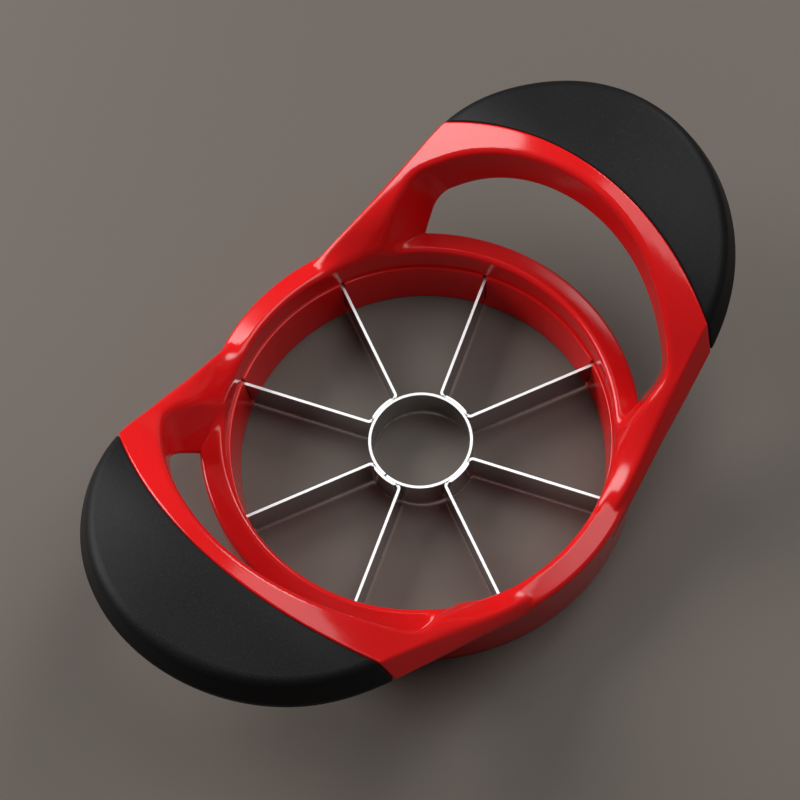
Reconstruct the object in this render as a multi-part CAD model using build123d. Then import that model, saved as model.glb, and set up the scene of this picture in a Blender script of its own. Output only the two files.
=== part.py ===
from build123d import *
import os
from math import atan2, cos, degrees, hypot, radians, sin, sqrt, tan

# Apple corer and wedge slicer, pushed down by two raised loop handles.
# Origin: centre of the ring, on the surface that the ring stands on.
# +X is the long axis, through both handles, and +Z is up. Millimetres and degrees.

# Ring moulding
ring_radius = 54.2          # outside of the wall at its foot
ring_draft = 2.0            # the wall leans outward by this much as it rises
ring_height = 22.0          # foot to the inner edge of the rim
bore_radius = 48.4          # the opening at the rim
rim_fall = 2.2              # the rim is this much lower at its outer edge
rim_round = 1.2             # radius along both edges of the rim
wall = 1.8                  # outer wall and top of the hollow ring
skirt_wall = 1.6            # wall between the opening and the hollow

# Handle loops
tip_reach = 92.7            # origin to the outermost point of a grip
grip_radius = 46.4          # outline of a grip, seen from above
parting_radius = 97.0       # line where a grip meets the frame, seen from above
parting_reach = 67.0        # origin to that line on the long axis
loop_depth = 13.0           # thickness of a loop
leg_splay = 11.5            # outer side of a leg, to the long axis
leg_rise = 32.6             # slope of a leg's upper face
leg_root = 17.4             # where a leg leaves the rim, along X
crest_height = 48.6         # upper face of a loop beyond the bend, at crown_span
crest_bend = 36.0           # bend radius between the leg's slope and the crest
crown = 10.0                # the loop's middle stands this much above its sides
crown_span = 46.0           # distance from the long axis at which the crown ends
outer_share = -0.1          # share of it that is left further out
shoulder_width = 2.6        # sloped shoulder round the outside, seen from above
shoulder_depth = 6.0        # and its height
under_width = 3.2           # slope that tucks the outside in below the shoulder
under_depth = 5.2           # and its height
ridge_round = 0.7           # radius of the ridge over a leg's shoulder
grip_round = 3.5            # the same ridge on a grip

# Inner side of a leg beside the ring: deeper, and rolled off along its upper edge
gusset_slope = 62.0         # how steeply the underside falls towards the ring
gusset_reach = 57.0         # where that fall begins, along X
gusset_drop = 25.0          # the most that it lowers the underside's middle
gusset_bend = 12.0          # bend radius where it begins
roll_radius = 7.6
roll_width = 12.0           # greatest width of the rolled edge
roll_reach = 53.5           # where its outer border ends, along X
roll_half_width = 35.5      # and from the long axis
roll_splay = 28.8           # its outer border to the long axis
roll_growth = 10.0          # it is fully grown this far from the leg's root, along X
roll_fade = 38.0            # and fades from here to roll_reach

# Pockets that core out the legs from below
pocket_wall = 2.4           # plastic left round a pocket
pocket_roof = 2.6           # and over it
pocket_ribs = 2             # ribs across each pocket
pocket_rib_width = 1.4
pocket_rib_reach = 43.5     # origin to the first rib, along X
pocket_rib_pitch = 7.0

# Finger holes
hole_reach = 62.5           # origin to the far side of a finger hole
hole_radius = 56.3          # far side of a finger hole, seen from above
hole_half_width = 35.0      # long axis to the side of a finger hole, at the rim and its corner
hole_splay = 9.0            # that side to the long axis, seen from above
hole_lean = 17.0            # the sides lean outward by this much as they rise
hole_corner = 10.0          # corner radius between the two
hole_round = 1.8            # radius along the upper edge of a finger hole
hole_under_round = 1.2      # radius along its lower edge

# Sampling of a loop's upper and lower faces
slab_stations = 14          # sections along X
slab_spots = 17             # points across each section

# Grips, moulded over a tongue of the frame
groove_round = 0.5          # both edges of the line between grip and frame
tongue_margin = 5.0         # grip thickness round the tongue's edge
tongue_cover = 4.2          # grip thickness over and under the tongue
tongue_root = 2.5           # the tongue starts this far inside the frame
key_count = 5               # holes through the tongue, filled by the grip
key_radius = 3.0
key_pitch = 17.0            # angle between them, round the grip's outline centre
key_inset = 11.0            # tongue holes to the grip's outline

# Blades
sheet = 0.7                 # thickness of the stainless strip
blade_top = 11.6            # upper edge of the blades
blade_height = 11.0
bevel_height = 1.4          # ground cutting edge
bevel_land = 0.14           # flat left on the cutting edge
core_radius = 13.15         # outside of the core ring
core_seam = 0.5             # gap of the core ring's butt seam
weld_gap = 0.05             # strip to core ring, at the welds
blade_count = 8
blade_angle = 22.5          # from a strip's middle to its blades, at the rim
bend_angle = 20.6           # from a strip's middle to its bends, at the core
strip_bend = 0.9            # bend radius of the strip, on its middle line
tab_radius = 50.55          # middle line of the bent end tabs
tab_length = 4.0
tab_lift = 2.5              # the end tabs stop this much above the cutting edge

# Ring that closes the hollow from below and holds the tabs
collar_height = 13.3        # foot of the frame to the collar's upper edge
collar_top_radius = 47.7    # inside of the collar at its upper edge
collar_foot_radius = 46.5   # and at its foot
collar_outside = 49.8
collar_round = 0.3
closure_lift = 0.3          # the closing ring sits this much above the frame's foot
closure_floor = 2.0
lip_height = 7.0
lip_wall = 1.2
press_gap = 0.1             # closing ring to the frame
slot_gap = 0.3              # slot width beyond the sheet's thickness
bead_radius = 0.5           # snap bead round the closing ring
bead_stand = 0.3            # how far it stands out of the lip
bead_height = 5.0
rib_width = 1.2             # ribs that hold the tabs down

# Derived sizes
strip_count = blade_count // 2
strip_pitch = 360 / strip_count
blade_foot = blade_top - blade_height
bevel_top = blade_foot + bevel_height
tab_foot = blade_foot + tab_lift
tab_angle = degrees(tab_length / tab_radius)
hug_radius = core_radius + weld_gap + sheet / 2
ledge_height = collar_height + press_gap
hollow_radius = ring_radius - wall
skirt_outside = bore_radius + skirt_wall
closure_radius = hollow_radius - press_gap
rim_radius = ring_radius + ring_height * tan(radians(ring_draft))
grip_centre = tip_reach - grip_radius
parting_centre = parting_reach - parting_radius
hole_centre = hole_reach - hole_radius
leg_start = leg_root - 3 * wall                   # the legs begin inside the ring
leg_knee = leg_root + (crest_height - ring_height) / tan(radians(leg_rise))
# A leg's outer side touches the grip's arc at this point
joint_x = grip_centre + grip_radius * sin(radians(leg_splay))
joint_y = grip_radius * cos(radians(leg_splay))
tall = crest_height + crown + wall                # above everything
on_line = 0.05              # edges closer than this to a line lie on it


def bent_line(x, knee_x, knee_z, slope_in, slope_out, bend):
    """Height at x of two straight lines that meet at a knee and are joined by an arc."""
    rise, run_out = radians(slope_in), radians(slope_out)
    tangent = bend * tan((rise - run_out) / 2)
    if x <= knee_x - tangent * cos(rise):
        return knee_z + (x - knee_x) * tan(rise)
    if x >= knee_x + tangent * cos(run_out):
        return knee_z + (x - knee_x) * tan(run_out)
    centre_x = knee_x - tangent * cos(rise) + bend * sin(rise)
    centre_z = knee_z - tangent * sin(rise) - bend * cos(rise)
    return centre_z + sqrt(bend**2 - (x - centre_x) ** 2)


def ease(value, start, end):
    """Smooth step from 0 at start to 1 at end."""
    share = min(max((value - start) / (end - start), 0), 1)
    return share**2 * (3 - 2 * share)


def bulge(y):
    """Share of a crown that is left at y."""
    return max(1 - (y / crown_span) ** 2, outer_share)


def side_height(x):
    """Upper face of a loop at crown_span: the leg's slope, bending into the crest."""
    return bent_line(x, leg_knee, crest_height, leg_rise, 0, crest_bend)


def roll_off(x, y):
    """How far a leg's upper face has rolled down towards its inner side."""
    border = roll_half_width + (roll_reach - x) * tan(radians(roll_splay))
    inward = min(max(border - abs(y), 0), roll_width)
    grown = min(max((x - leg_root) / roll_growth, 0), 1)
    share = grown * (1 - ease(x, roll_fade, roll_reach))
    return share * inward**2 / (2 * roll_radius)


def upper_height(x, y):
    """Upper face of a loop: no crown at the leg's root, all of it at the knee."""
    return side_height(x) + crown * ease(x, leg_root, leg_knee) * bulge(y) - roll_off(x, y)


def lower_height(x, y):
    """Underside of a loop: its crown turns into the gusset beside the ring."""
    gusset = bent_line(x, gusset_reach, crown, gusset_slope, 0, gusset_bend)
    return side_height(x) - loop_depth + max(gusset, -gusset_drop) * bulge(y)


def leg_side(x):
    """Distance of a leg's outer side from the long axis."""
    return joint_y + (joint_x - x) * tan(radians(leg_splay))


def slab(start, over=0.0, under=0.0):
    """Space between a loop's upper and lower faces from start on, thinned above and below."""
    half = leg_side(start) + wall
    spots = [half * (1 - 2 * i / (slab_spots - 1)) for i in range(slab_spots)]
    step = (tip_reach + wall - start) / (slab_stations - 1)
    sections = []
    for i in range(slab_stations):
        x = start + i * step
        high = [(y, upper_height(x, y) - over) for y in spots]
        low = [(y, lower_height(x, y) + under) for y in reversed(spots)]
        outline = [Spline(*high), Line(high[-1], low[0]), Spline(*low), Line(low[-1], high[0])]
        station = Plane((x, 0, 0), x_dir=(0, 1, 0), z_dir=(1, 0, 0))
        sections.append(station * make_face(outline))
    return loft(sections)


def prism(face):
    """A flat shape raised from below the part to above it."""
    return extrude(Pos(0, 0, -wall) * face, tall + wall)


def outline_face():
    """One loop seen from above: the grip's arc and the splayed outer sides of the legs."""
    joint, mirrored = (joint_x, joint_y), (joint_x, -joint_y)
    root, far_root = (leg_start, leg_side(leg_start)), (leg_start, -leg_side(leg_start))
    tip = ThreePointArc(joint, (tip_reach, 0), mirrored)
    return make_face([Line(root, joint), tip, Line(mirrored, far_root), Line(far_root, root)])


def hole_cutter(grown=0.0):
    """Finger hole: a round far side, and sides that lean outward; it runs back over the opening."""
    cutter = prism(Pos(hole_centre, 0) * Circle(hole_radius + grown))
    half_width = hole_half_width + grown / cos(radians(hole_lean))
    for side in (-1, 1):
        corner = (hole_reach - hole_corner, side * half_width, ring_height)
        outward = (tan(radians(hole_splay)), side, -tan(radians(hole_lean)))
        cutter = split(cutter, Plane(corner, z_dir=outward), keep=Keep.BOTTOM)
    corners = [edge for edge in cutter.edges() if edge.center().X > hole_centre
               and edge.geom_type == GeomType.ELLIPSE]
    return fillet(corners, hole_corner)


def inside_outline(point):
    """Distance of a point from the loop's outline, inward."""
    if point.X > joint_x:
        return grip_radius - hypot(point.X - grip_centre, point.Y)
    return (leg_side(point.X) - abs(point.Y)) * cos(radians(leg_splay))


def at_outline(point):
    return inside_outline(point) < wall


def at_ridge(point):
    return inside_outline(point) < 2 * shoulder_width


def at_hole(point):
    """Is a point on the edge of a finger hole, clear of the ring?"""
    return inside_outline(point) > 2 * under_width and hypot(point.X, point.Y) > rim_radius


def cap_edges(form, upper, test):
    """The loop's upper or lower face, and those of its edges whose middle passes a test."""
    caps = form.faces().filter_by(GeomType.BSPLINE).sort_by(SortBy.AREA)[-2:]
    cap = max(caps, key=lambda face: face.center().Z * (1 if upper else -1))
    edges = [edge for edge in cap.edges() if edge.center().X > leg_start + wall and test(edge @ 0.5)]
    return cap, edges


def loop_form(ridge):
    """One loop, frame and grip together, with the given radius over its shoulder."""
    plan = prism(outline_face() - Circle(bore_radius))
    form = plan - hole_cutter() & slab(leg_start - wall)
    cap, edges = cap_edges(form, True, at_outline)
    form = chamfer(edges, shoulder_width, shoulder_depth, reference=cap)
    cap, edges = cap_edges(form, False, at_outline)
    form = chamfer(edges, under_width, under_depth, reference=cap)
    form = fillet(cap_edges(form, True, at_ridge)[1], ridge)
    form = fillet(cap_edges(form, True, at_hole)[1], hole_round)
    return fillet(cap_edges(form, False, at_hole)[1], hole_under_round)


def parting_prism():
    """All that lies on the frame's side of the line between grip and frame."""
    return prism(Pos(parting_centre, 0) * Circle(parting_radius))


def ease_parting(body):
    """Round the edges of the face where grip and frame meet."""
    def off_line(point):
        return abs(hypot(point.X - parting_centre, point.Y) - parting_radius)

    edges = [edge for edge in body.edges() if max(off_line(edge @ end) for end in (0, 0.5, 1)) < on_line]
    return fillet(edges, groove_round)


def pockets():
    """Spaces that core out both legs of a loop from below, with ribs left across them."""
    plan = Pos(parting_centre, 0) * Circle(parting_radius - tongue_root - pocket_wall)
    plan &= offset(outline_face(), -shoulder_width - pocket_wall)
    plan -= Circle(rim_radius + pocket_wall)
    space = prism(plan) - hole_cutter(pocket_wall) & slab(leg_start - wall, pocket_roof, -wall)
    for i in range(pocket_ribs):
        rib = Box(pocket_rib_width, 2 * grip_radius, 2 * tall)
        space -= Pos(pocket_rib_reach + i * pocket_rib_pitch) * rib
    return space


def tongue():
    """Flat tongue of the frame inside a grip, with the holes that key the two together."""
    plan = Pos(grip_centre, 0) * Circle(grip_radius - tongue_margin)
    plan -= Pos(parting_centre, 0) * Circle(parting_radius - tongue_root)
    for i in range(key_count):
        angle = key_pitch * (i - (key_count - 1) / 2)
        plan -= Pos(grip_centre, 0) * Rot(0, 0, angle) * Pos(grip_radius - key_inset, 0) * Circle(key_radius)
    return prism(plan) & slab(roll_reach, tongue_cover, tongue_cover)


def spun(*points):
    """Solid of revolution about Z of an outline given as radius and height."""
    return revolve(Plane.XZ * make_face(Polyline(*points, close=True)), Axis.Z)


def ring_blank():
    """The ring moulding before its hollow is cut."""
    blank = spun((bore_radius, 0), (ring_radius, 0), (rim_radius, ring_height - rim_fall),
                 (bore_radius, ring_height))
    return fillet([edge for edge in blank.edges() if edge.center().Z > ring_height / 2], rim_round)


def roof(radius):
    """Height of the hollow's roof, which runs parallel to the rim's upper face."""
    return ring_height - wall - rim_fall * (radius - bore_radius) / (rim_radius - bore_radius)


def bead(clearance=0.0):
    """Snap bead of the closing ring, or with a clearance the groove that takes it."""
    section = Pos(closure_radius + bead_stand - bead_radius, bead_height) * Circle(bead_radius + clearance)
    return revolve(Plane.XZ * section, Axis.Z)


def hollow():
    """Space inside the ring, open below, without the ribs that hold the tabs down."""
    inner = bore_radius - wall
    space = spun((inner, -wall), (hollow_radius, -wall), (hollow_radius, roof(hollow_radius)),
                 (skirt_outside, roof(skirt_outside)), (skirt_outside, ledge_height),
                 (inner, ledge_height))
    rib = extrude(Pos(0, 0, blade_top) * Rectangle(ring_radius, rib_width, align=(Align.MIN, Align.CENTER)),
                  ring_height - blade_top) - prism(Circle(collar_outside + press_gap))
    return space - [Rot(0, 0, angle) * rib for angle in rim_angles(tab_angle / 2)] + bead(press_gap)


def rim_angles(shift=0.0):
    """Direction of every blade at the rim, or of a point further along its end tab."""
    return [i * strip_pitch + side * (blade_angle + shift) for i in range(strip_count) for side in (-1, 1)]


def handle_frame():
    """Ring and both cored loops as one moulding, with the tongues that take the grips."""
    loop = ease_parting(loop_form(ridge_round) & parting_prism()) - pockets() + tongue()
    return ring_blank() + loop + Rot(0, 0, 180) * loop - hollow()


def grip():
    """Soft grip over the tongue, filling the tongue's holes."""
    return ease_parting(loop_form(grip_round) - parting_prism()) - tongue()


def closing_ring():
    """U-shaped ring pressed into the hollow; its slotted collar holds the blades."""
    floor_top = closure_lift + closure_floor
    lip_inside = closure_radius - lip_wall
    ring = spun((collar_foot_radius, closure_lift), (closure_radius, closure_lift),
                (closure_radius, lip_height), (lip_inside, lip_height),
                (lip_inside, floor_top), (collar_outside, floor_top),
                (collar_outside, collar_height), (collar_top_radius, collar_height))
    ring = fillet([edge for edge in ring.edges() if edge.center().Z > lip_height], collar_round)
    slot = Pos((collar_top_radius + collar_outside) / 2, 0, (tab_foot + ring_height) / 2) * Box(
        collar_outside - collar_top_radius + 2 * wall, sheet + slot_gap, ring_height - tab_foot)
    return ring + bead() - [Rot(0, 0, angle) * slot for angle in rim_angles()]


def polar(radius, angle):
    return (radius * cos(radians(angle)), radius * sin(radians(angle)))


def strip_line():
    """Middle line of a strip: tab, blade, arc round the core, blade, tab."""
    end = -blade_angle - tab_angle
    marks = [polar(tab_radius, end), polar(tab_radius, end + tab_angle / 2),
             polar(tab_radius, -blade_angle), polar(hug_radius, -bend_angle)]
    mirrored = [(x, -y) for x, y in reversed(marks)]
    line = Wire([ThreePointArc(*marks[:3]), Line(*marks[2:]),
                 ThreePointArc(marks[3], (hug_radius, 0), mirrored[0]), Line(*mirrored[:2]),
                 ThreePointArc(*mirrored[1:])])
    bends = [v for v in line.vertices() if abs(degrees(atan2(v.Y, v.X))) < blade_angle + tab_angle / 2]
    return line.fillet_2d(strip_bend, bends)


def blade_strip():
    """Strip folded round the core: two blades, each with an end tab."""
    full = Pos(0, 0, bevel_top) * trace(strip_line(), sheet)
    ground = Pos(0, 0, blade_foot) * trace(strip_line(), bevel_land)
    strip = extrude(full, blade_top - bevel_top) + loft([full, ground], ruled=True)
    clear = collar_foot_radius - slot_gap
    return strip - spun((clear, 0), (ring_radius, 0), (ring_radius, tab_foot), (clear, tab_foot))


def core_ring():
    """Rolled strip with a butt seam, ground to an edge below."""
    middle, inside = core_radius - sheet / 2, core_radius - sheet
    section = Polyline((inside, blade_top), (core_radius, blade_top), (core_radius, bevel_top),
                       (middle + bevel_land / 2, blade_foot), (middle - bevel_land / 2, blade_foot),
                       (inside, bevel_top), close=True)
    gap = degrees(core_seam / core_radius)
    ring = revolve(Plane.XZ * make_face(section), Axis.Z, revolution_arc=360 - gap)
    return Rot(0, 0, 180 + gap / 2) * ring


def save(shape, name):
    export_step(shape, f"parts/{name}.step")


os.makedirs("parts", exist_ok=True)
save(handle_frame(), "handle_frame")
save(closing_ring(), "blade_closing_ring")
save(core_ring(), "core_ring")
strip = blade_strip()
for i, name in enumerate(("right", "back", "left", "front")):
    save(Rot(0, 0, i * strip_pitch) * strip, f"blade_strip_{name}")
right_grip = grip()
save(right_grip, "grip_right")
save(Rot(0, 0, 180) * right_grip, "grip_left")
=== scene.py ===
import math
import bpy
import bmesh
from mathutils import Matrix, Vector
from mathutils.geometry import barycentric_transform


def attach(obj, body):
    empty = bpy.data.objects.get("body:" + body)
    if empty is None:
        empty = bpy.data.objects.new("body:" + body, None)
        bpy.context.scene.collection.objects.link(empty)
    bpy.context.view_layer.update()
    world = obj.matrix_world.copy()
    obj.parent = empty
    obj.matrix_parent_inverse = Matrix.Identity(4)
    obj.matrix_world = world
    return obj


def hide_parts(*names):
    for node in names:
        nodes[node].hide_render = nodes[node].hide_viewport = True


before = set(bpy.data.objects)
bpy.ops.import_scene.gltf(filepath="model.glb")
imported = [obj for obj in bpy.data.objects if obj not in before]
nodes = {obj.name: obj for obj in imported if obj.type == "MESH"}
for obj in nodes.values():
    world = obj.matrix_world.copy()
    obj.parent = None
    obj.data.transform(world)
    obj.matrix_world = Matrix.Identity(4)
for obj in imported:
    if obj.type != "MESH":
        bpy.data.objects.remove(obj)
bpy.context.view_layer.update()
mm = 0.001
scene = bpy.context.scene
print("frame loaded:", len(nodes), "nodes")


def makeNode(tree, kind, place, values=None, **settings):
    # place is a column and a row in the node editor; a value is a constant or another node's socket
    columnWidth, rowHeight = 190, 170
    node = tree.nodes.new(kind)
    node.location = (place[0] * columnWidth, place[1] * rowHeight)
    for name, value in settings.items():
        setattr(node, name, value)
    for name, value in (values or {}).items():
        if isinstance(value, bpy.types.NodeSocket):
            tree.links.new(value, node.inputs[name])
        else:
            node.inputs[name].default_value = value
    return node


def makeGroup(name, kind, inputs, outputs):
    tree = bpy.data.node_groups.new(name, kind)
    for title, socket, value in inputs:
        tree.interface.new_socket(title, in_out="INPUT", socket_type=socket).default_value = value
    for title, socket in outputs:
        tree.interface.new_socket(title, in_out="OUTPUT", socket_type=socket)
    given = makeNode(tree, "NodeGroupInput", (-5, 0))
    out = makeNode(tree, "NodeGroupOutput", (6, 0))
    return tree, given.outputs, out.inputs


def mathNode(tree, place, operation, *values):
    node = makeNode(tree, "ShaderNodeMath", place, dict(enumerate(values)), operation=operation)
    return node.outputs["Value"]


def mixNode(tree, place, first, second, share, kind="RGBA"):
    # first where the share is 0, second where it is 1
    node = makeNode(tree, "ShaderNodeMix", place, {"A": first, "B": second, "Factor": share}, data_type=kind)
    return node.outputs["Result"]


def rangeNode(tree, place, value, ends):
    return makeNode(tree, "ShaderNodeMapRange", place, {"Value": value, **ends}).outputs["Result"]


def noiseNode(tree, place, coords, scale, detail, roughness):
    # scale is in waves per metre
    node = makeNode(tree, "ShaderNodeTexNoise", place,
                    {"Vector": coords, "Scale": scale, "Detail": detail, "Roughness": roughness})
    return node.outputs["Fac"]


# each mask is 0 at From Min and 1 at From Max
rubbedEdges = {
    "shade": {"From Min": 0.72, "From Max": 0.42},      # how dark an edge is, seen from inside
    "patches": {"From Min": 0.42, "From Max": 0.66},    # which part of the noise rubs it
    "samples": 8,
}
settledDust = {
    "slope": {"From Min": 0.35, "From Max": 1.0},       # how far a face looks up
    "specks": {"From Min": 0.56, "From Max": 0.80},     # which part of the noise is a speck
}


def wearGroup():
    # mask of the edges that hands and worktop rub, broken up by noise
    tree, given, out = makeGroup("edgeWear", "ShaderNodeTree",
                                 [("Width", "NodeSocketFloat", 0.5 * mm),
                                  ("Break Up", "NodeSocketFloat", 400.0)],
                                 [("Mask", "NodeSocketFloat")])
    coords = makeNode(tree, "ShaderNodeTexCoord", (-4, -1)).outputs["Object"]
    # looking into the body, only its outward edges come out dark
    depth = makeNode(tree, "ShaderNodeAmbientOcclusion", (-3, 1), {"Distance": given["Width"]},
                     samples=rubbedEdges["samples"], inside=True, only_local=True)
    noise = noiseNode(tree, (-3, -1), coords, given["Break Up"], 4.0, 0.6)
    edge = rangeNode(tree, (-1, 1), depth.outputs["AO"], rubbedEdges["shade"])
    patch = rangeNode(tree, (-1, -1), noise, rubbedEdges["patches"])
    tree.links.new(mathNode(tree, (0, 0), "MULTIPLY", edge, patch), out["Mask"])
    return tree


def dustGroup():
    # fine dust that settles on faces that look up
    tree, given, out = makeGroup("fineDust", "ShaderNodeTree",
                                 [("Amount", "NodeSocketFloat", 0.2),
                                  ("Speck Size", "NodeSocketFloat", 2600.0)],
                                 [("Mask", "NodeSocketFloat")])
    coords = makeNode(tree, "ShaderNodeTexCoord", (-4, -1)).outputs["Object"]
    normal = makeNode(tree, "ShaderNodeNewGeometry", (-4, 1)).outputs["Normal"]
    facing = makeNode(tree, "ShaderNodeSeparateXYZ", (-3, 1), {"Vector": normal})
    noise = noiseNode(tree, (-3, -1), coords, given["Speck Size"], 3.0, 0.7)
    up = rangeNode(tree, (-2, 1), facing.outputs["Z"], settledDust["slope"])
    patch = rangeNode(tree, (-2, -1), noise, settledDust["specks"])
    both = mathNode(tree, (-1, 0), "MULTIPLY", up, patch)
    tree.links.new(mathNode(tree, (0, 0), "MULTIPLY", both, given["Amount"]), out["Mask"])
    return tree


edgeWear = wearGroup()
fineDust = dustGroup()


def newMaterial(name):
    material = bpy.data.materials.new(name)
    material.use_nodes = True
    tree = material.node_tree
    return material, tree, tree.nodes["Principled BSDF"]


def maskFrom(tree, group, place, values):
    return makeNode(tree, "ShaderNodeGroup", place, values, node_tree=group).outputs["Mask"]


def linkSkin(tree, skin, colour, roughness, normal):
    for title, value in (("Base Color", colour), ("Roughness", roughness), ("Normal", normal)):
        tree.links.new(value, skin.inputs[title])


redPlastic = {
    "colour": (0.72, 0.0085, 0.009, 1.0),
    "deepColour": (0.64, 0.006, 0.0075, 1.0),
    "rubbedColour": (0.80, 0.030, 0.030, 1.0),
    "dustColour": (0.62, 0.34, 0.30, 1.0),
    "gloss": 0.13,              # roughness of the moulded skin
    "smears": (0.05, 0.09),     # how much smoother and rougher it gets in places
    "rubbed": 0.26,             # roughness where it is rubbed
    "dusty": 0.6,               # roughness under dust
    "shine": 1.46,              # index of refraction
    "wear": {"Width": 0.7 * mm, "Break Up": 520.0},
    "dust": {"Amount": 0.10, "Speck Size": 3000.0},
    # four noises: scale, detail, roughness
    "flowNoise": (38.0, 3.0, 0.5),          # in the colour
    "smearNoise": (90.0, 6.0, 0.62),        # in the gloss
    "waveNoise": (75.0, 2.0, 0.4),          # in the surface
    "poreNoise": (2400.0, 2.0, 0.5),
    "bumps": 0.35,              # how strongly waves and pores show
    "waveHeight": 0.00022,      # slow waves that moulding leaves, m
    "poreShare": 0.03,          # height of the pores, as a share of the waves
    "bevelSamples": 16,
    "rootBlend": 2.6 * mm,      # radius that the legs' roots seem to have
    "edgeBlend": 0.35 * mm,     # and every other edge
    "rootSpan": (43.0, 76.0),   # the roots lie between these directions of the ring, degrees
    "rootFade": 5.0,            # and fade in over this, degrees
    "rootHeight": (17.0 * mm, 20.0 * mm),   # they begin between these heights
    "rootRadius": (51.5 * mm, 53.0 * mm),   # or beyond these radii
}


def rootMask(tree, coords):
    # 1 at the four places where a leg runs into the ring, 0 elsewhere
    place = makeNode(tree, "ShaderNodeSeparateXYZ", (-12, 4), {"Vector": coords}).outputs
    across = mathNode(tree, (-11, 4), "ABSOLUTE", place["X"])
    along = mathNode(tree, (-11, 5), "ABSOLUTE", place["Y"])
    turn = mathNode(tree, (-9, 4), "ARCTAN2", along, across)
    low, high = (math.radians(value) for value in redPlastic["rootSpan"])
    fade = math.radians(redPlastic["rootFade"])
    starts = rangeNode(tree, (-8, 5), turn, {"From Min": low, "From Max": low + fade})
    stops = rangeNode(tree, (-8, 4), turn, {"From Min": high, "From Max": high - fade})
    lowHeight, fullHeight = redPlastic["rootHeight"]
    raised = rangeNode(tree, (-8, 3), place["Z"], {"From Min": lowHeight, "From Max": fullHeight})
    squares = [mathNode(tree, (-10, row), "MULTIPLY", side, side) for row, side in ((3, across), (2, along))]
    spread = mathNode(tree, (-9, 2), "SQRT", mathNode(tree, (-9, 3), "ADD", *squares))
    nearRadius, fullRadius = redPlastic["rootRadius"]
    outside = rangeNode(tree, (-8, 2), spread, {"From Min": nearRadius, "From Max": fullRadius})
    sides = mathNode(tree, (-7, 4), "MULTIPLY", starts, stops)
    seen = mathNode(tree, (-7, 3), "MAXIMUM", raised, outside)
    return mathNode(tree, (-6, 4), "MULTIPLY", sides, seen)


def redPlasticMaterial():
    material, tree, skin = newMaterial("glossyRedPlastic")
    coords = makeNode(tree, "ShaderNodeTexCoord", (-14, 0)).outputs["Object"]
    wear = maskFrom(tree, edgeWear, (-6, 0), redPlastic["wear"])
    dust = maskFrom(tree, fineDust, (-6, -1), redPlastic["dust"])
    flow = noiseNode(tree, (-6, 2), coords, *redPlastic["flowNoise"])
    smears = noiseNode(tree, (-6, -2), coords, *redPlastic["smearNoise"])
    waves = noiseNode(tree, (-6, -4), coords, *redPlastic["waveNoise"])
    pores = noiseNode(tree, (-6, -5), coords, *redPlastic["poreNoise"])

    tint = mixNode(tree, (-4, 2), redPlastic["deepColour"], redPlastic["colour"], flow)
    worn = mixNode(tree, (-3, 2), tint, redPlastic["rubbedColour"], wear)
    dusty = mixNode(tree, (-2, 2), worn, redPlastic["dustColour"], dust)

    smoother, rougher = redPlastic["smears"]
    gloss = rangeNode(tree, (-4, -2), smears,
                      {"To Min": redPlastic["gloss"] - smoother, "To Max": redPlastic["gloss"] + rougher})
    wornGloss = mixNode(tree, (-3, -2), gloss, redPlastic["rubbed"], wear, "FLOAT")
    dustyGloss = mixNode(tree, (-2, -2), wornGloss, redPlastic["dusty"], dust, "FLOAT")

    # every edge is seen rounded, the legs' roots most, with waves and pores over it
    radius = rangeNode(tree, (-4, 4), rootMask(tree, coords),
                       {"To Min": redPlastic["edgeBlend"], "To Max": redPlastic["rootBlend"]})
    soft = makeNode(tree, "ShaderNodeBevel", (-3, 4), {"Radius": radius}, samples=redPlastic["bevelSamples"])
    poreHeight = mathNode(tree, (-4, -4), "MULTIPLY", pores, redPlastic["poreShare"])
    height = mathNode(tree, (-3, -4), "ADD", waves, poreHeight)
    bump = makeNode(tree, "ShaderNodeBump", (-2, -4),
                    {"Strength": redPlastic["bumps"], "Distance": redPlastic["waveHeight"],
                     "Height": height, "Normal": soft.outputs["Normal"]})
    linkSkin(tree, skin, dusty, dustyGloss, bump.outputs["Normal"])
    skin.inputs["IOR"].default_value = redPlastic["shine"]
    return material


softGrip = {
    "colour": (0.0040, 0.0040, 0.0046, 1.0),
    "paleColour": (0.0070, 0.0070, 0.0080, 1.0),
    "rubbedColour": (0.022, 0.022, 0.024, 1.0),
    "dustColour": (0.10, 0.095, 0.09, 1.0),
    "roughness": 0.50,
    "patches": (0.06, 0.08),    # how much smoother and rougher it gets in places
    "shine": 0.17,              # specular level, low as on rubber
    "wear": {"Width": 1.0 * mm, "Break Up": 380.0},
    "dust": {"Amount": 0.25, "Speck Size": 2400.0},
    # two noises: scale, detail, roughness
    "patchNoise": (55.0, 5.0, 0.6),
    "grainNoise": (5200.0, 2.0, 0.5),       # of the sprayed texture
    "pitScale": 3120.0,         # its pits, 1/m
    "bumps": 0.35,              # how strongly grain and pits show
    "grainDepth": 0.00006,      # m
}


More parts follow.
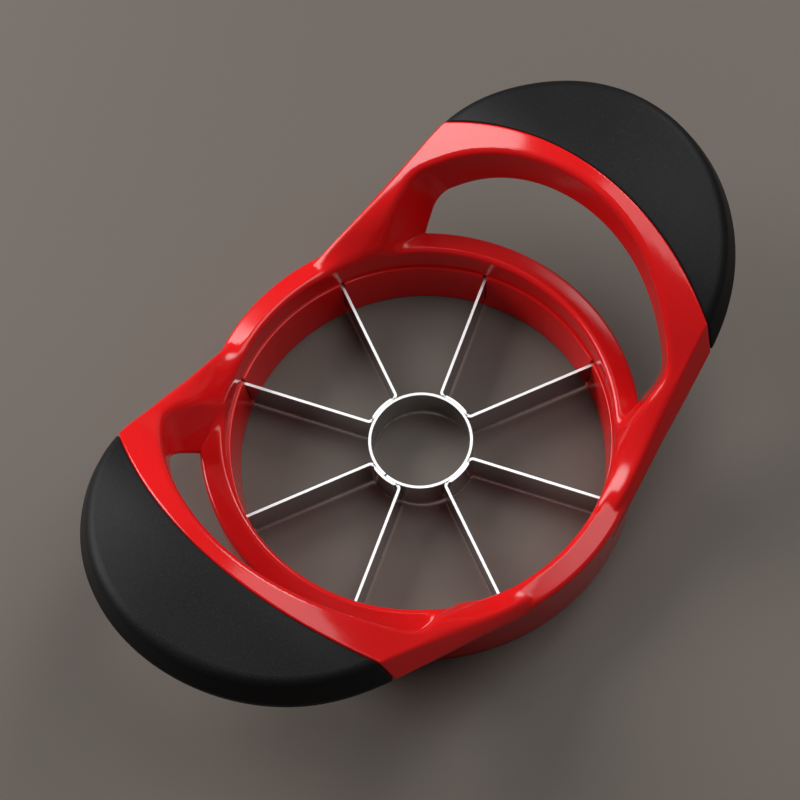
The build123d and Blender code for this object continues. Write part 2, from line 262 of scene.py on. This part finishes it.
def softGripMaterial():
    material, tree, skin = newMaterial("softBlackGrip")
    coords = makeNode(tree, "ShaderNodeTexCoord", (-7, 0)).outputs["Object"]
    wear = maskFrom(tree, edgeWear, (-6, 0), softGrip["wear"])
    dust = maskFrom(tree, fineDust, (-6, -1), softGrip["dust"])
    patches = noiseNode(tree, (-6, 2), coords, *softGrip["patchNoise"])
    grain = noiseNode(tree, (-6, -4), coords, *softGrip["grainNoise"])
    pits = makeNode(tree, "ShaderNodeTexVoronoi", (-6, -5), {"Vector": coords, "Scale": softGrip["pitScale"]})

    tint = mixNode(tree, (-4, 2), softGrip["colour"], softGrip["paleColour"], patches)
    worn = mixNode(tree, (-3, 2), tint, softGrip["rubbedColour"], wear)
    dusty = mixNode(tree, (-2, 2), worn, softGrip["dustColour"], dust)

    smoother, rougher = softGrip["patches"]
    rough = rangeNode(tree, (-4, -2), patches,
                      {"To Min": softGrip["roughness"] - smoother, "To Max": softGrip["roughness"] + rougher})
    height = mathNode(tree, (-3, -4), "ADD", grain, pits.outputs["Distance"])
    bump = makeNode(tree, "ShaderNodeBump", (-2, -4),
                    {"Strength": softGrip["bumps"], "Distance": softGrip["grainDepth"], "Height": height})
    linkSkin(tree, skin, dusty, rough, bump.outputs["Normal"])
    skin.inputs["Specular IOR Level"].default_value = softGrip["shine"]
    return material


stainless = {
    "colour": (0.52, 0.52, 0.53, 1.0),
    "paleColour": (0.66, 0.66, 0.67, 1.0),
    "rubbedColour": (0.90, 0.90, 0.90, 1.0),
    "groundAndHighlightColour": (0.97, 0.97, 0.97, 1.0),   # the brighter ground edge, and the painted highlight on the top edge
    "roughness": 0.20,
    "lines": (0.06, 0.12),      # how much smoother and rougher the rolling lines make it
    "cutRoughness": 0.48,
    "wear": {"Width": 0.15 * mm, "Break Up": 900.0},
    "groundHeight": 2.0 * mm,   # top of the ground edge above the worktop
    "groundFade": 0.15 * mm,    # and how far above it the grinding fades out
    "paintedTopHighlight": {"From Min": 0.6, "From Max": 0.9},     # how far a face looks up to take the painted highlight of the top edge
    # two noises: scale, detail, roughness
    "lineNoise": (2600.0, 4.0, 0.7),        # rolling lines
    "stainNoise": (60.0, 5.0, 0.6),
    "lineStretch": (0.06, 0.06, 1.0),       # the lines lie along the strip
    "bumps": 0.22,              # how strongly they show
    "lineDepth": 0.00003,       # m
}


def stainlessMaterial():
    material, tree, skin = newMaterial("brushedStainless")
    coords = makeNode(tree, "ShaderNodeTexCoord", (-9, 0)).outputs["Object"]
    stretched = makeNode(tree, "ShaderNodeMapping", (-7, 0),
                         {"Vector": coords, "Scale": stainless["lineStretch"]})
    lines = noiseNode(tree, (-6, 0), stretched.outputs["Vector"], *stainless["lineNoise"])
    stains = noiseNode(tree, (-6, 2), coords, *stainless["stainNoise"])
    wear = maskFrom(tree, edgeWear, (-6, 3), stainless["wear"])

    # ground metal near the ground edge, and a painted highlight wherever the sheet's own edge looks up
    place = makeNode(tree, "ShaderNodeSeparateXYZ", (-7, -2), {"Vector": coords})
    ground = rangeNode(tree, (-6, -2), place.outputs["Z"],
                       {"From Min": stainless["groundHeight"] + stainless["groundFade"],
                        "From Max": stainless["groundHeight"]})
    normal = makeNode(tree, "ShaderNodeNewGeometry", (-8, -3)).outputs["Normal"]
    facing = makeNode(tree, "ShaderNodeSeparateXYZ", (-7, -3), {"Vector": normal})
    # painted highlight: the up-facing top edge of the sheet is coloured near white
    paintedTopHighlight = rangeNode(tree, (-6, -3), facing.outputs["Z"], stainless["paintedTopHighlight"])
    groundAndHighlight = mathNode(tree, (-5, -2), "MAXIMUM", ground, paintedTopHighlight)

    tint = mixNode(tree, (-4, 2), stainless["colour"], stainless["paleColour"], stains)
    worn = mixNode(tree, (-3, 2), tint, stainless["rubbedColour"], wear)
    # near white on the ground edge for its ground finish, and on the top edge as a painted highlight
    colour = mixNode(tree, (-2, 2), worn, stainless["groundAndHighlightColour"], groundAndHighlight)

    smoother, rougher = stainless["lines"]
    rolled = rangeNode(tree, (-4, 0), lines, {"To Min": stainless["roughness"] - smoother,
                                              "To Max": stainless["roughness"] + rougher})
    rough = mixNode(tree, (-3, 0), rolled, stainless["cutRoughness"], groundAndHighlight, "FLOAT")
    bump = makeNode(tree, "ShaderNodeBump", (-2, -3),
                    {"Strength": stainless["bumps"], "Distance": stainless["lineDepth"], "Height": lines})
    linkSkin(tree, skin, colour, rough, bump.outputs["Normal"])
    skin.inputs["Metallic"].default_value = 1.0
    return material


redSkin = redPlasticMaterial()
gripSkin = softGripMaterial()
steelSkin = stainlessMaterial()
print("materials made")


# these keep the CAD's own surfaces and normals
mouldings = {
    "blade_closing_ring": redSkin,
    "grip_right": gripSkin,
    "grip_left": gripSkin,
}
for name, material in mouldings.items():
    nodes[name].data.materials.clear()
    nodes[name].data.materials.append(material)
print("mouldings painted:", ", ".join(mouldings))


legRoots = {
    "middle": (24.5 * mm, 44.0 * mm, 23.0 * mm),    # of one root; the other three mirror it
    "full": 9.5 * mm,           # up to here the blend is whole
    "reach": 15.5 * mm,         # nothing further away changes
    "hollowRoof": 20.2 * mm,    # the ring's inside stays as it is
    "roofFade": 1.0 * mm,       # and the blend grows above it over this height
    "ringSide": (50.2 * mm, 52.4 * mm),     # towards the ring's outside it fades between these radii
    "legSide": (45.5 * mm, 55.5 * mm, 0.2035),      # a leg's outer side: Y at that X, and its slope
    "legInset": (2.8 * mm, 5.5 * mm),       # the blend grows between these depths under it
    "facet": 0.7 * mm,          # longest edge of the finer mesh
    "longEdge": 6.0 * mm,       # past this an edge is cut even if only its middle is in reach
    "rounds": 6,                # of cutting, at most
    "passes": 34,               # rounds of easing
    "pull": 0.6,                # how far each one moves a point to the middle of its neighbours
    "normalPasses": 5,          # rounds of easing for the normals
    "normalShare": 0.25,        # from this share on, only the eased normal counts
    "weld": 0.0002 * mm,        # joins the CAD mesh's loose triangles
    "sliver": 0.002 * mm,       # joins the ends of edges shorter than this
}


def fadeUp(value, low, high):
    share = min(max((value - low) / (high - low), 0.0), 1.0)
    return share * share * (3.0 - 2.0 * share)


def rootShare(place):
    # how much a point of the frame takes part in the blend
    middle = Vector(legRoots["middle"])
    away = (Vector((abs(place.x), abs(place.y), place.z)) - middle).length
    near = 1.0 - fadeUp(away, legRoots["full"], legRoots["reach"])
    above = fadeUp(place.z, legRoots["hollowRoof"], legRoots["hollowRoof"] + legRoots["roofFade"])
    inside = 1.0 - fadeUp(math.hypot(place.x, place.y), *legRoots["ringSide"])
    sideY, sideX, slope = legRoots["legSide"]
    inset = sideY + (sideX - abs(place.x)) * slope - abs(place.y)
    return near * above * inside * fadeUp(inset, *legRoots["legInset"])


def cornerNormal(corners, place):
    # normal inside a triangle from those at its corners
    spots = [corner for corner, _ in corners]
    shares = barycentric_transform(place, *spots, Vector((1, 0, 0)), Vector((0, 1, 0)), Vector((0, 0, 1)))
    shares = [min(max(share, 0.0), 1.0) for share in shares]
    return sum((normal * share for (_, normal), share in zip(corners, shares)), Vector())


def splitIntoTriangles(bm):
    bmesh.ops.triangulate(bm, faces=[face for face in bm.faces if len(face.verts) > 3])


def cutRoots(bm):
    # shorter edges where the blend will be
    for _ in range(legRoots["rounds"]):
        coarse = [edge for edge in bm.edges if edge.calc_length() > legRoots["facet"]
                  and max(rootShare(vert.co) for vert in edge.verts) > 0.0]
        coarse += [edge for edge in bm.edges if edge.calc_length() > legRoots["longEdge"]
                   and rootShare((edge.verts[0].co + edge.verts[1].co) / 2) > 0.0 and edge not in coarse]
        if not coarse:
            break
        bmesh.ops.subdivide_edges(bm, edges=coarse, cuts=1)
        splitIntoTriangles(bm)


def closeSlivers(bm, origin):
    # faces folded flat onto each other go in pairs, and the small holes left are filled
    bmesh.ops.remove_doubles(bm, verts=bm.verts, dist=legRoots["sliver"])
    bm.verts.index_update()
    twins = {}
    for face in bm.faces:
        twins.setdefault(frozenset(vert.index for vert in face.verts), []).append(face)
    folded = [face for same in twins.values() for face in same[:len(same) // 2 * 2]]
    bmesh.ops.delete(bm, geom=folded, context="FACES")
    rims = [edge for edge in bm.edges if edge.is_boundary]
    for face in bmesh.ops.holes_fill(bm, edges=rims, sides=4)["faces"]:
        face[origin] = next(other[origin] for edge in face.edges
                            for other in edge.link_faces if other is not face)
    splitIntoTriangles(bm)
    bm.verts.index_update()


def easedFrame(source):
    # the legs flow into the ring: a finer mesh at their four roots, eased and shaded as one surface
    mesh = source.data
    corners = [[(mesh.vertices[mesh.loops[loop].vertex_index].co.copy(),
                 mesh.corner_normals[loop].vector.copy())
                for loop in face.loop_indices] for face in mesh.polygons]
    bm = bmesh.new()
    bm.from_mesh(mesh)
    origin = bm.faces.layers.int.new("origin")      # which CAD triangle a face comes from
    for face in bm.faces:
        face[origin] = face.index
    bmesh.ops.remove_doubles(bm, verts=bm.verts, dist=legRoots["weld"])
    cutRoots(bm)
    closeSlivers(bm, origin)

    # points in reach move towards the middle of their neighbours
    rest = [vert.co.copy() for vert in bm.verts]
    share = {vert.index: rootShare(vert.co) for vert in bm.verts}
    moving = [vert for vert in bm.verts if share[vert.index] > 0.0]
    around = {vert.index: [edge.other_vert(vert) for edge in vert.link_edges] for vert in moving}
    for _ in range(legRoots["passes"]):
        eased = [sum((other.co for other in around[vert.index]), Vector()) / len(around[vert.index])
                 for vert in moving]
        for vert, place in zip(moving, eased):
            vert.co = vert.co.lerp(place, legRoots["pull"] * share[vert.index])

    # their normals are eased too, and blend into the CAD's own further out
    bm.normal_update()
    facing = {vert.index: vert.normal.copy() for vert in moving}
    for _ in range(legRoots["normalPasses"]):
        facing = {vert.index: (facing[vert.index] + sum((facing.get(other.index, other.normal)
                  for other in around[vert.index]), Vector())).normalized() for vert in moving}
    normals = []
    for face in bm.faces:
        for vert in face.verts:
            exact = cornerNormal(corners[face[origin]], rest[vert.index])
            blend = fadeUp(share.get(vert.index, 0.0), 0.0, legRoots["normalShare"])
            normals.append(exact.lerp(facing.get(vert.index, exact), blend).normalized())
    bm.faces.layers.int.remove(origin)
    result = bpy.data.meshes.new("handleFrame")
    bm.to_mesh(result)
    bm.free()
    result.shade_smooth()
    result.normals_split_custom_set(normals)
    result.materials.append(redSkin)
    return result


handleFrame = bpy.data.objects.new("handleFrame", easedFrame(nodes["handle_frame"]))
scene.collection.objects.link(handleFrame)
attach(handleFrame, "root")
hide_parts("handle_frame")
print("leg roots eased:", len(handleFrame.data.polygons), "faces on the frame")


# radii are those of a strip's middle plane, angles are counted from the strip's own middle
strip = {
    "Sheet": 0.7 * mm,          # thickness
    "Top": 11.6 * mm,           # height of the upper edge above the worktop
    "Ground Top": 2.0 * mm,     # where the grinding starts
    "Edge": 0.6 * mm,           # height of the cutting edge
    "Land": 0.14 * mm,          # flat left on the cutting edge
}
bladeStrip = {
    "Hug Radius": 13.55 * mm,   # round the core ring
    "Bend Angle": math.radians(20.6),       # where a blade leaves the core ring
    "Tab Radius": 50.55 * mm,
    "Blade Angle": math.radians(22.5),      # where it turns into its tab
    "Tab Sweep": math.radians(4.534),       # length of the tab
    "Bend Radius": 0.9 * mm,
    "Step Radius": 46.2 * mm,   # beyond this the strip's foot is higher, inside its slot
    "Step Foot": 3.1 * mm,
}
bladePoints = {
    "hug": 13,                  # points on the arc round the core
    "tab": 5,                   # on each tab
    "bend": 5,                  # and on each rounded bend
    "step": 0.0015,             # half of the step's width, as a share of the blade
    "hair": 0.0005,             # angles closer than this are the same, radians
    "coreSide": 20 * mm,        # bends inside this radius are the two at the core
    "tabSide": 50 * mm,         # and those beyond this one the two at the tabs
}
coreRing = {
    "Radius": 12.8 * mm,
    "Seam": math.radians(2.18),             # what the butt seam leaves open
    "Facets": 112,              # points along the ring
}
steelMesh = {
    "weld": 0.0005 * mm,        # joins the caps to the sides
    "sharpAngle": 28.0,         # edges sharper than this stay sharp, degrees
}


def vectorFrom(tree, place, x=None, y=None, z=None):
    given = {title: value for title, value in zip("XYZ", (x, y, z)) if value is not None}
    return makeNode(tree, "ShaderNodeCombineXYZ", place, given).outputs["Vector"]


def groundProfile():
    # closed section of the strip: square above, ground to an edge below
    sizes = [(title, "NodeSocketFloat", value) for title, value in strip.items()]
    tree, given, out = makeGroup("groundProfile", "GeometryNodeTree", sizes,
                                 [("Profile", "NodeSocketGeometry")])
    half = mathNode(tree, (-4, 1), "MULTIPLY", given["Sheet"], 0.5)
    minusHalf = mathNode(tree, (-3, 1), "MULTIPLY", half, -1.0)
    land = mathNode(tree, (-4, -1), "MULTIPLY", given["Land"], 0.5)
    minusLand = mathNode(tree, (-3, -1), "MULTIPLY", land, -1.0)
    corners = [(minusHalf, "Top"), (half, "Top"), (half, "Ground Top"), (land, "Edge"),
               (minusLand, "Edge"), (minusHalf, "Ground Top")]
    hexagon = makeNode(tree, "GeometryNodeCurvePrimitiveCircle", (0, 2), {"Resolution": len(corners)})
    index = makeNode(tree, "GeometryNodeInputIndex", (0, 1))
    choose = makeNode(tree, "GeometryNodeIndexSwitch", (2, 0), data_type="VECTOR")
    while len(choose.index_switch_items) < len(corners):
        choose.index_switch_items.new()
    tree.links.new(index.outputs["Index"], choose.inputs["Index"])
    for number, (across, height) in enumerate(corners):
        # a curve that lies flat turns its section's Y downwards
        drop = mathNode(tree, (-1, -number), "MULTIPLY", given[height], -1.0)
        tree.links.new(vectorFrom(tree, (0, -number), across, drop), choose.inputs[number + 1])
    moved = makeNode(tree, "GeometryNodeSetPosition", (4, 1),
                     {"Geometry": hexagon.outputs["Curve"], "Position": choose.outputs["Output"]})
    tree.links.new(moved.outputs["Geometry"], out["Profile"])
    return tree


profileTree = groundProfile()


def sweepProfile(tree, given, curve, place):
    # the section carried along a flat curve, upright
    profile = makeNode(tree, "GeometryNodeGroup", (place[0] - 1, place[1] - 2),
                       {title: given[title] for title in strip}, node_tree=profileTree)
    level = makeNode(tree, "GeometryNodeSetCurveNormal", place, {"Curve": curve}, mode="Z_UP")
    sweep = makeNode(tree, "GeometryNodeCurveToMesh", (place[0] + 1, place[1]),
                     {"Curve": level.outputs["Curve"], "Profile Curve": profile.outputs["Profile"],
                      "Fill Caps": True})
    return sweep.outputs["Mesh"]


def endTree(tree, geometry, out, place):
    realize = makeNode(tree, "GeometryNodeRealizeInstances", place, {"Geometry": geometry})
    paint = makeNode(tree, "GeometryNodeSetMaterial", (place[0] + 1, place[1]),
                     {"Geometry": realize.outputs["Geometry"], "Material": steelSkin})
    tree.links.new(paint.outputs["Geometry"], out["Mesh"])


def bladeStripTree():
    # tab, blade, arc round the core, blade, tab: five pieces of curve strung together by their angle
    sizes = [(title, "NodeSocketFloat", value) for title, value in {**strip, **bladeStrip}.items()]
    tree, given, out = makeGroup("bladeStripTree", "GeometryNodeTree",
                                 sizes + [("Turn", "NodeSocketFloat", 0.0)],
                                 [("Mesh", "NodeSocketGeometry")])
    link = tree.links.new
    gathered = makeNode(tree, "GeometryNodeJoinGeometry", (3, 3))

    def arc(place, points, radius, start, sweep):
        node = makeNode(tree, "GeometryNodeCurveArc", place,
                        {"Resolution": points, "Radius": radius, "Start Angle": start, "Sweep Angle": sweep})
        link(node.outputs["Curve"], gathered.inputs["Geometry"])

    def polar(place, radius, angle):
        column, row = place
        x = mathNode(tree, place, "MULTIPLY", radius, mathNode(tree, (column - 1, row), "COSINE", angle))
        y = mathNode(tree, (column, row - 1), "MULTIPLY", radius,
                     mathNode(tree, (column - 1, row - 1), "SINE", angle))
        return x, y

    hug, tab, sweep = given["Hug Radius"], given["Tab Radius"], given["Tab Sweep"]
    bend, blade = given["Bend Angle"], given["Blade Angle"]
    hugStart = mathNode(tree, (-1, 6), "MULTIPLY", bend, -1.0)
    hugSweep = mathNode(tree, (-1, 7), "MULTIPLY", bend, 2.0)
    farStart = mathNode(tree, (-1, 4), "MULTIPLY", mathNode(tree, (-2, 4), "ADD", blade, sweep), -1.0)
    arc((1, 6), bladePoints["hug"], hug, hugStart, hugSweep)
    arc((1, 5), bladePoints["tab"], tab, blade, sweep)
    arc((1, 4), bladePoints["tab"], tab, farStart, sweep)

    # two close points on each blade, where the foot steps up
    innerX, innerY = polar((-2, 1), hug, bend)
    outerX, outerY = polar((-2, -2), tab, blade)
    span = mathNode(tree, (-1, 1), "SUBTRACT", tab, hug)
    stepAway = mathNode(tree, (-1, 0), "SUBTRACT", given["Step Radius"], hug)
    share = mathNode(tree, (0, 1), "DIVIDE", stepAway, span)
    for side in (1.0, -1.0):
        ends = []
        for nudge in (-bladePoints["step"], bladePoints["step"]):
            part = mathNode(tree, (0, 0), "ADD", share, nudge)
            coords = []
            for low, high, turn in ((innerX, outerX, 1.0), (innerY, outerY, side)):
                reach = mathNode(tree, (1, 0), "SUBTRACT", high, low)
                along = mathNode(tree, (1, -1), "MULTIPLY", reach, part)
                spot = mathNode(tree, (1, -2), "ADD", low, along)
                coords.append(mathNode(tree, (1, -3), "MULTIPLY", spot, turn))
            ends.append(vectorFrom(tree, (2, -1), *coords))
        stepLine = makeNode(tree, "GeometryNodeCurvePrimitiveLine", (2, 1), {"Start": ends[0], "End": ends[1]})
        link(stepLine.outputs["Curve"], gathered.inputs["Geometry"])

    # string the points together in the order of their angle
    points = makeNode(tree, "GeometryNodeCurveToPoints", (4, 3),
                      {"Curve": gathered.outputs["Geometry"]}, mode="EVALUATED")
    spot = makeNode(tree, "GeometryNodeInputPosition", (3, 0))
    parts = makeNode(tree, "ShaderNodeSeparateXYZ", (4, 0), {"Vector": spot.outputs["Position"]}).outputs
    angle = mathNode(tree, (5, 0), "ARCTAN2", parts["Y"], parts["X"])
    strung = makeNode(tree, "GeometryNodePointsToCurves", (5, 3),
                      {"Points": points.outputs["Points"], "Weight": angle})

    # round the two bends at the core and the two at the tabs
    flatSpot = vectorFrom(tree, (5, -1), parts["X"], parts["Y"])
    radius = makeNode(tree, "ShaderNodeVectorMath", (6, -1), {0: flatSpot}, operation="LENGTH").outputs["Value"]
    size = mathNode(tree, (6, 0), "ABSOLUTE", angle)
    nearCore = mathNode(tree, (7, 0), "LESS_THAN", radius, bladePoints["coreSide"])
    pastHug = mathNode(tree, (7, -1), "GREATER_THAN",
                       mathNode(tree, (6, -2), "ADD", size, bladePoints["hair"]), bend)
    nearTab = mathNode(tree, (7, -2), "GREATER_THAN", radius, bladePoints["tabSide"])
    beforeTab = mathNode(tree, (7, -3), "LESS_THAN",
                         mathNode(tree, (6, -3), "SUBTRACT", size, bladePoints["hair"]), blade)
    atCore = mathNode(tree, (8, 0), "MULTIPLY", nearCore, pastHug)
    atTab = mathNode(tree, (8, -2), "MULTIPLY", nearTab, beforeTab)
    corner = mathNode(tree, (9, -1), "ADD", atCore, atTab)
    bendRadius = mathNode(tree, (9, 0), "MULTIPLY", corner, given["Bend Radius"])
    bends = makeNode(tree, "GeometryNodeFilletCurve", (10, 3), mode="POLY")
    bends.inputs["Count"].default_value = bladePoints["bend"]
    link(strung.outputs["Curves"], bends.inputs["Curve"])
    link(bendRadius, bends.inputs["Radius"])

    # sweep the section, step the foot up inside the slot, and turn the strip to its place
    mesh = sweepProfile(tree, given, bends.outputs["Curve"], (11, 3))
    beyond = mathNode(tree, (12, 0), "GREATER_THAN", radius, given["Step Radius"])
    lift = mathNode(tree, (13, -1), "MAXIMUM", parts["Z"], given["Step Foot"])
    lifted = vectorFrom(tree, (13, 0), parts["X"], parts["Y"], lift)
    stepped = makeNode(tree, "GeometryNodeSetPosition", (14, 3),
                       {"Geometry": mesh, "Selection": beyond, "Position": lifted})
    turned = makeNode(tree, "GeometryNodeTransform", (15, 3), {"Geometry": stepped.outputs["Geometry"]})
    link(vectorFrom(tree, (14, 0), z=given["Turn"]), turned.inputs["Rotation"])
    endTree(tree, turned.outputs["Geometry"], out, (16, 3))
    return tree


def coreRingTree():
    # one arc, open at the butt seam
    sizes = [(title, "NodeSocketFloat", value) for title, value in strip.items()]
    sizes += [("Radius", "NodeSocketFloat", coreRing["Radius"]),
              ("Seam", "NodeSocketFloat", coreRing["Seam"]),
              ("Facets", "NodeSocketInt", coreRing["Facets"])]
    tree, given, out = makeGroup("coreRingTree", "GeometryNodeTree", sizes,
                                 [("Mesh", "NodeSocketGeometry")])
    half = mathNode(tree, (-3, 1), "MULTIPLY", given["Seam"], 0.5)
    start = mathNode(tree, (-2, 1), "ADD", half, math.pi)
    sweep = mathNode(tree, (-2, 2), "SUBTRACT", 2 * math.pi, given["Seam"])
    rolled = makeNode(tree, "GeometryNodeCurveArc", (0, 0),
                      {"Resolution": given["Facets"], "Radius": given["Radius"],
                       "Start Angle": start, "Sweep Angle": sweep})
    endTree(tree, sweepProfile(tree, given, rolled.outputs["Curve"], (2, 0)), out, (4, 0))
    return tree


def bakeTree(name, tree, node, **values):
    # one plain mesh from a node tree, in place of one CAD node
    holder = bpy.data.objects.new(name, bpy.data.meshes.new(name))
    scene.collection.objects.link(holder)
    maker = holder.modifiers.new("maker", "NODES")
    maker.node_group = tree
    sockets = {item.name: item.identifier for item in tree.interface.items_tree if item.in_out == "INPUT"}
    for title, value in values.items():
        maker[sockets[title]] = value
    baked = bpy.data.meshes.new_from_object(holder.evaluated_get(bpy.context.evaluated_depsgraph_get()))
    holder.modifiers.remove(maker)
    bm = bmesh.new()
    bm.from_mesh(baked)
    bmesh.ops.remove_doubles(bm, verts=bm.verts, dist=steelMesh["weld"])
    bmesh.ops.recalc_face_normals(bm, faces=bm.faces)
    bm.to_mesh(baked)
    bm.free()
    baked.name = name
    baked.shade_smooth()
    baked.set_sharp_from_angle(angle=math.radians(steelMesh["sharpAngle"]))
    holder.data = baked
    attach(holder, "root")
    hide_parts(node)
    return holder


stripTree = bladeStripTree()
for quarter, side in enumerate(("right", "back", "left", "front")):
    bakeTree("bladeStrip" + side.title(), stripTree, "blade_strip_" + side, Turn=quarter * math.pi / 2)
core = bakeTree("coreRing", coreRingTree(), "core_ring")
print("steel made:", len(core.data.polygons), "faces on the core ring")


studio = {
    "floorSize": 4.0,           # m
    "floorColour": (0.118, 0.098, 0.082, 1.0),
    "floorNoise": (400.0, 4.0, 0.5),        # scale, detail, roughness
    "floorRoughness": {"To Min": 0.55, "To Max": 0.65},
    "worldColour": (1.0, 1.0, 1.0, 1.0),
    "worldGlow": 0.085,
    "aim": (0.0, 0.0, 0.02),    # what the softboxes look at, m
    "softboxes": [
        # name, place (m), size (m), power (W)
        ("keyBox", (-0.20, 0.80, 0.57), (0.76, 0.62), 10.2),
        ("sideBox", (0.76, 0.17, 0.64), (0.34, 0.30), 2.3),
        ("topBox", (0.37, -0.15, 0.92), (0.70, 0.72), 4.2),
    ],
}

bpy.ops.mesh.primitive_plane_add(size=studio["floorSize"])
floor = bpy.context.object
floor.name = "studioFloor"
floorSkin, floorTree, floorShader = newMaterial("warmGreyFloor")
floorCoords = makeNode(floorTree, "ShaderNodeTexCoord", (-4, 0)).outputs["Object"]
floorNoise = noiseNode(floorTree, (-3, 0), floorCoords, *studio["floorNoise"])
floorRough = rangeNode(floorTree, (-2, 0), floorNoise, studio["floorRoughness"])
floorTree.links.new(floorRough, floorShader.inputs["Roughness"])
floorShader.inputs["Base Color"].default_value = studio["floorColour"]
floor.data.materials.append(floorSkin)

world = bpy.data.worlds.new("studioWorld")
scene.world = world
world.use_nodes = True
backdrop = world.node_tree.nodes["Background"]
backdrop.inputs["Color"].default_value = studio["worldColour"]
backdrop.inputs["Strength"].default_value = studio["worldGlow"]

for name, place, size, power in studio["softboxes"]:
    lamp = bpy.data.lights.new(name, "AREA")
    lamp.shape = "RECTANGLE"
    lamp.size, lamp.size_y = size
    lamp.energy = power
    box = bpy.data.objects.new(name, lamp)
    scene.collection.objects.link(box)
    aim = Vector(studio["aim"]) - Vector(place)
    box.matrix_world = Matrix.Translation(place) @ aim.to_track_quat("-Z", "Y").to_matrix().to_4x4()

shot = {
    "azimuth": 40.763,          # turn about Z, degrees
    "tilt": 24.946,             # away from straight down, degrees
    "roll": 6.852,              # degrees
    "look": (-5.147, 10.038, 611.269),   # camera from the blades' centre, in its own axes, mm
    "bladeTop": 11.6,           # mm
    "lens": 109.56,             # mm, on the sensor below
    "sensor": 36.0,
    "clipEnd": 20.0,            # m
}
turn = (Matrix.Rotation(math.radians(-shot["azimuth"]), 4, "Z")
        @ Matrix.Rotation(math.radians(shot["tilt"]), 4, "X")
        @ Matrix.Rotation(math.radians(-shot["roll"]), 4, "Z"))
cameraData = bpy.data.cameras.new("shotCamera")
cameraData.lens = shot["lens"]
cameraData.sensor_width = shot["sensor"]
cameraData.clip_end = shot["clipEnd"]
camera = bpy.data.objects.new("shotCamera", cameraData)
scene.collection.objects.link(camera)
cameraPlace = (turn @ Vector(shot["look"])) * mm + Vector((0.0, 0.0, shot["bladeTop"] * mm))
camera.matrix_world = Matrix.Translation(cameraPlace) @ turn
scene.camera = camera
scene.view_settings.view_transform = "Standard"
print("studio set")
